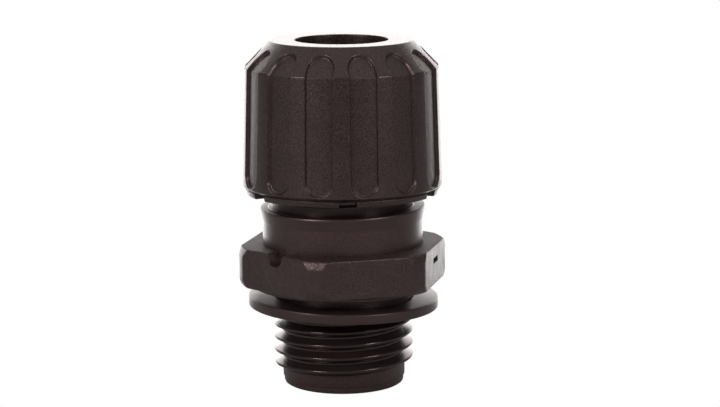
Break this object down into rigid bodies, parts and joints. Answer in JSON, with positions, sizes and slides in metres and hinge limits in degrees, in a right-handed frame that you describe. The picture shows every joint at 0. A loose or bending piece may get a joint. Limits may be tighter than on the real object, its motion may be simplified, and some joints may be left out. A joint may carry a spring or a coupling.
{
  "type": "cable gland",
  "caption": "Plastic cable gland: hex entry body with a threaded stem and gasket, an inner seal, hinged clamping fingers and a fluted cap nut that screws down to close them on the cable.",
  "frame": {"origin": "on the axis of the stem's bore, level with the lower face of the entry gasket, which is the face that seats on the panel", "axes": "+Z along the axis towards the cap nut's cable opening; -Y faces the side with the hex flat that carries no slot"},
  "size_m": [0.0238, 0.0238, 0.0397],
  "materials": {
    "moulded_polyamide": "matte, fine spark-eroded texture",
    "body_polyamide": "satin",
    "thread_polyamide": "semi-gloss",
    "gasket_rubber": "smooth, satin",
    "seal_elastomer": "satin",
    "slip_ring_acetal": "satin"
  },
  "bodies": {
    "body": {"gland_body": "body_polyamide", "entry_thread": "thread_polyamide", "cap_thread": "thread_polyamide", "skirt_ring": "gasket_rubber", "cable_seal": "seal_elastomer", "clamp_cage": "moulded_polyamide"},
    "gasket": {"entry_gasket": "gasket_rubber"},
    "slip_ring": {"slip_ring": "slip_ring_acetal"},
    "cap_nut": {"cap_nut": "moulded_polyamide", "nut_thread": "thread_polyamide"},
    "finger_1": {"finger_1": "moulded_polyamide"},
    "finger_2": {"finger_2": "moulded_polyamide"},
    "finger_3": {"finger_3": "moulded_polyamide"},
    "finger_4": {"finger_4": "moulded_polyamide"},
    "finger_5": {"finger_5": "moulded_polyamide"},
    "finger_6": {"finger_6": "moulded_polyamide"},
    "finger_7": {"finger_7": "moulded_polyamide"},
    "finger_8": {"finger_8": "moulded_polyamide"}
  },
  "joints": [
    {"name": "gasket_slide", "type": "slide", "parent": "body", "child": "gasket", "axis": [0, 0, 1], "range_m": [-0.0085, 0.001]},
    {"name": "nut_travel", "type": "slide", "parent": "body", "child": "slip_ring", "axis": [0, 0, 1], "range_m": [-0.00375, 0.0015], "deforming": ["cable_seal"]},
    {"name": "nut_turn", "type": "hinge", "parent": "slip_ring", "child": "cap_nut", "pos_m": [0, 0, 0.02], "axis": [0, 0, 1], "range_deg": [-900.5, 360.5]},
    {"name": "finger_1_bend", "type": "hinge", "parent": "body", "child": "finger_1", "pos_m": [0.00684, 0.00283, 0.0192], "axis": [-0.3827, 0.9239, 0], "range_deg": [-13.4, 5.4]},
    {"name": "finger_2_bend", "type": "hinge", "parent": "body", "child": "finger_2", "pos_m": [0.00283, 0.00684, 0.0192], "axis": [-0.9239, 0.3827, 0], "range_deg": [-13.4, 5.4]},
    {"name": "finger_3_bend", "type": "hinge", "parent": "body", "child": "finger_3", "pos_m": [-0.00283, 0.00684, 0.0192], "axis": [-0.9239, -0.3827, 0], "range_deg": [-13.4, 5.4]},
    {"name": "finger_4_bend", "type": "hinge", "parent": "body", "child": "finger_4", "pos_m": [-0.00684, 0.00283, 0.0192], "axis": [-0.3827, -0.9239, 0], "range_deg": [-13.4, 5.4]},
    {"name": "finger_5_bend", "type": "hinge", "parent": "body", "child": "finger_5", "pos_m": [-0.00684, -0.00283, 0.0192], "axis": [0.3827, -0.9239, 0], "range_deg": [-13.4, 5.4]},
    {"name": "finger_6_bend", "type": "hinge", "parent": "body", "child": "finger_6", "pos_m": [-0.00283, -0.00684, 0.0192], "axis": [0.9239, -0.3827, 0], "range_deg": [-13.4, 5.4]},
    {"name": "finger_7_bend", "type": "hinge", "parent": "body", "child": "finger_7", "pos_m": [0.00283, -0.00684, 0.0192], "axis": [0.9239, 0.3827, 0], "range_deg": [-13.4, 5.4]},
    {"name": "finger_8_bend", "type": "hinge", "parent": "body", "child": "finger_8", "pos_m": [0.00684, -0.00283, 0.0192], "axis": [0.3827, 0.9239, 0], "range_deg": [-13.4, 5.4]}
  ],
  "couplings": [
    {"joint": "nut_turn", "follows": "nut_travel", "rad_per_m": 4188.8},
    {"joint": "finger_1_bend", "follows": "nut_travel", "rad_per_m": 61.994},
    {"joint": "finger_2_bend", "follows": "nut_travel", "rad_per_m": 61.994},
    {"joint": "finger_3_bend", "follows": "nut_travel", "rad_per_m": 61.994},
    {"joint": "finger_4_bend", "follows": "nut_travel", "rad_per_m": 61.994},
    {"joint": "finger_5_bend", "follows": "nut_travel", "rad_per_m": 61.994},
    {"joint": "finger_6_bend", "follows": "nut_travel", "rad_per_m": 61.994},
    {"joint": "finger_7_bend", "follows": "nut_travel", "rad_per_m": 61.994},
    {"joint": "finger_8_bend", "follows": "nut_travel", "rad_per_m": 61.994}
  ]
}
